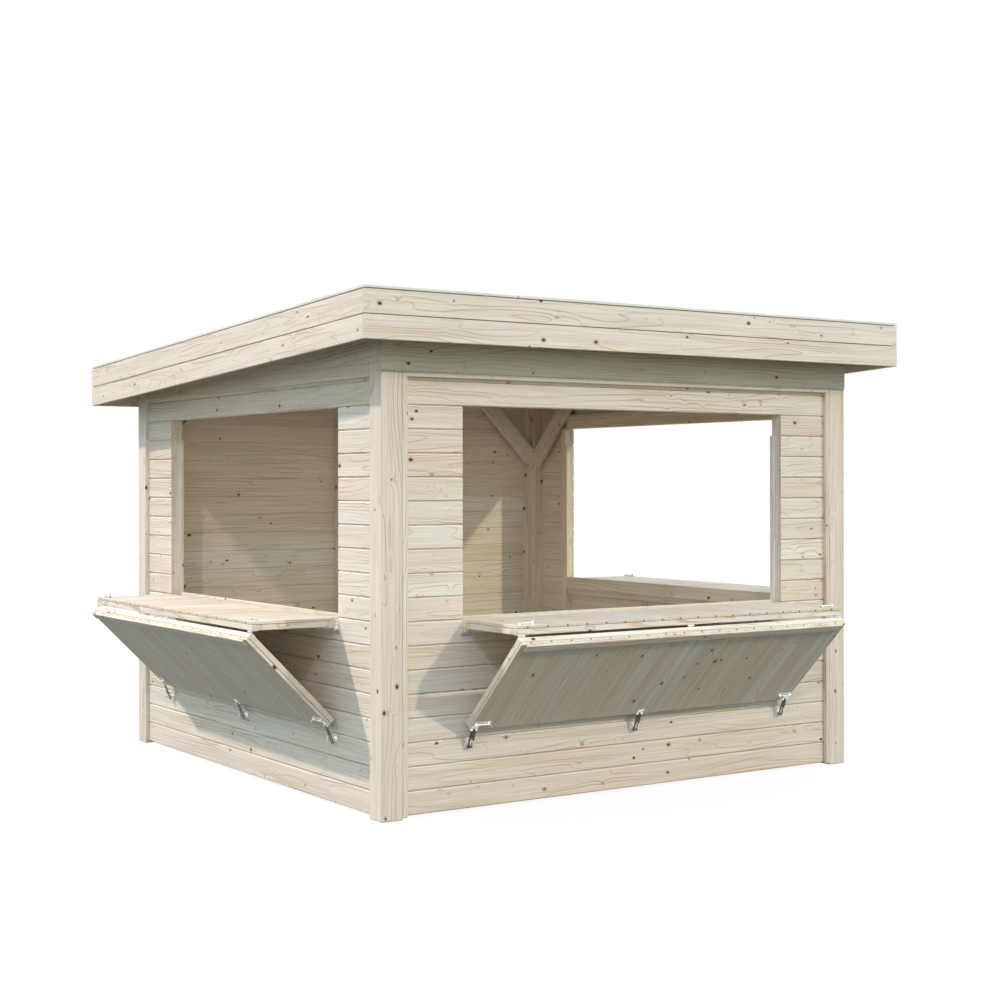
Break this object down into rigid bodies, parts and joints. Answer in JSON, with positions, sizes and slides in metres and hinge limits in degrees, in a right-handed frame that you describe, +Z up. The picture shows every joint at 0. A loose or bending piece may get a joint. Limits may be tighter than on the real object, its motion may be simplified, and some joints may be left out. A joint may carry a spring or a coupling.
{
  "type": "wooden market stall",
  "caption": "Square timber market hut with boarded walls, a flat roof and fold-down serving counters on the front and both sides.",
  "frame": {"origin": "middle of the overall footprint, eaves and open counters included, at ground level", "axes": "+X along the front wall, over the two side counters; -Y towards the customer at the front counter; +Z up"},
  "size_m": [3.959, 3.7214, 2.4722],
  "materials": {
    "spruce": "planed, untreated",
    "zinc_steel": "zinc plated"
  },
  "bodies": {
    "root": {"back_beam": "spruce", "back_door": "spruce", "back_door_fittings": "zinc_steel", "back_door_handle": "zinc_steel", "back_wall_frame": "spruce", "back_wall_header": "spruce", "back_wall_sides": "spruce", "corner_posts": "spruce", "fascia_back": "spruce", "fascia_front": "spruce", "fascia_sides": "spruce", "front_beam": "spruce", "front_wall_frame": "spruce", "front_wall_header": "spruce", "front_wall_lower": "spruce", "front_wall_piers": "spruce", "hatch_stops": "spruce", "knee_braces": "spruce", "left_wall_frame": "spruce", "left_wall_header": "spruce", "left_wall_lower": "spruce", "left_wall_piers": "spruce", "rafters": "spruce", "right_wall_frame": "spruce", "right_wall_header": "spruce", "right_wall_lower": "spruce", "right_wall_piers": "spruce", "roof_deck": "spruce", "roof_edge_trim": "spruce", "side_beams": "spruce", "sill_hinges": "zinc_steel", "staples": "zinc_steel", "top_plates": "spruce", "wall_battens": "spruce"},
    "front_counter": {"front_counter_boards": "spruce", "front_counter_fittings": "zinc_steel", "front_counter_frame": "spruce"},
    "front_hasps": {"front_hasps": "zinc_steel"},
    "front_prop": {"front_prop_boards": "spruce", "front_prop_fittings": "zinc_steel", "front_prop_frame": "spruce"},
    "left_counter": {"left_counter_boards": "spruce", "left_counter_fittings": "zinc_steel", "left_counter_frame": "spruce"},
    "left_hasps": {"left_hasps": "zinc_steel"},
    "left_prop": {"left_prop_boards": "spruce", "left_prop_fittings": "zinc_steel", "left_prop_frame": "spruce"},
    "right_counter": {"right_counter_boards": "spruce", "right_counter_fittings": "zinc_steel", "right_counter_frame": "spruce"},
    "right_hasps": {"right_hasps": "zinc_steel"},
    "right_prop": {"right_prop_boards": "spruce", "right_prop_fittings": "zinc_steel", "right_prop_frame": "spruce"}
  },
  "joints": [
    {"name": "front_counter_hinge", "type": "hinge", "parent": "root", "child": "front_counter", "pos_m": [0, -1.37326, 0.866], "axis": [-1, 0, 0], "range_deg": [0, 90]},
    {"name": "front_prop_hinge", "type": "hinge", "parent": "front_counter", "child": "front_prop", "pos_m": [0, -1.82026, 0.876], "axis": [-1, 0, 0], "range_deg": [0, 135]},
    {"name": "right_counter_hinge", "type": "hinge", "parent": "root", "child": "right_counter", "pos_m": [1.492, 0.11874, 0.866], "axis": [0, -1, 0], "range_deg": [0, 90]},
    {"name": "right_prop_hinge", "type": "hinge", "parent": "right_counter", "child": "right_prop", "pos_m": [1.939, 0.11874, 0.876], "axis": [0, -1, 0], "range_deg": [0, 135]},
    {"name": "left_counter_hinge", "type": "hinge", "parent": "root", "child": "left_counter", "pos_m": [-1.492, 0.11874, 0.866], "axis": [0, 1, 0], "range_deg": [0, 90]},
    {"name": "left_prop_hinge", "type": "hinge", "parent": "left_counter", "child": "left_prop", "pos_m": [-1.939, 0.11874, 0.876], "axis": [0, 1, 0], "range_deg": [0, 135]},
    {"name": "front_hasp_hinge", "type": "hinge", "parent": "front_prop", "child": "front_hasps", "pos_m": [0, -1.413, 0.39586], "axis": [-1, 0, 0], "range_deg": [0, 130]},
    {"name": "right_hasp_hinge", "type": "hinge", "parent": "right_prop", "child": "right_hasps", "pos_m": [1.53175, 0.11874, 0.39586], "axis": [0, -1, 0], "range_deg": [0, 130]},
    {"name": "left_hasp_hinge", "type": "hinge", "parent": "left_prop", "child": "left_hasps", "pos_m": [-1.53175, 0.11874, 0.39586], "axis": [0, 1, 0], "range_deg": [0, 130]}
  ]
}
